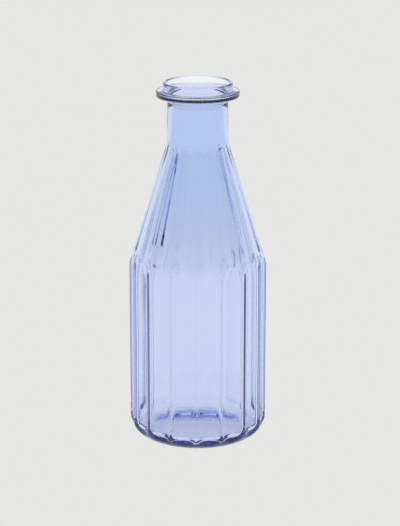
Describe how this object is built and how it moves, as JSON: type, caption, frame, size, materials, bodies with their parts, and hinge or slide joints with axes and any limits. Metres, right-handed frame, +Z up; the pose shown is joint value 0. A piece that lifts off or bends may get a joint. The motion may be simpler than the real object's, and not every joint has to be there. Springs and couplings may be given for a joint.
{
  "type": "glass bud vase",
  "caption": "Bottle-shaped bud vase in pale blue moulded glass: fluted body, lobed tapering shoulder, round neck with a collar and a raised lip.",
  "frame": {"origin": "middle of the base, on the surface the vase stands on", "axes": "+Z up along the vase's axis, -Y towards the front, where a ridge of the body is"},
  "size_m": [0.08, 0.08, 0.21],
  "materials": {
    "glass": "clear polished glass tinted pale periwinkle blue through its thickness"
  },
  "bodies": {
    "root": {"glass_vase": "glass"}
  },
  "joints": []
}
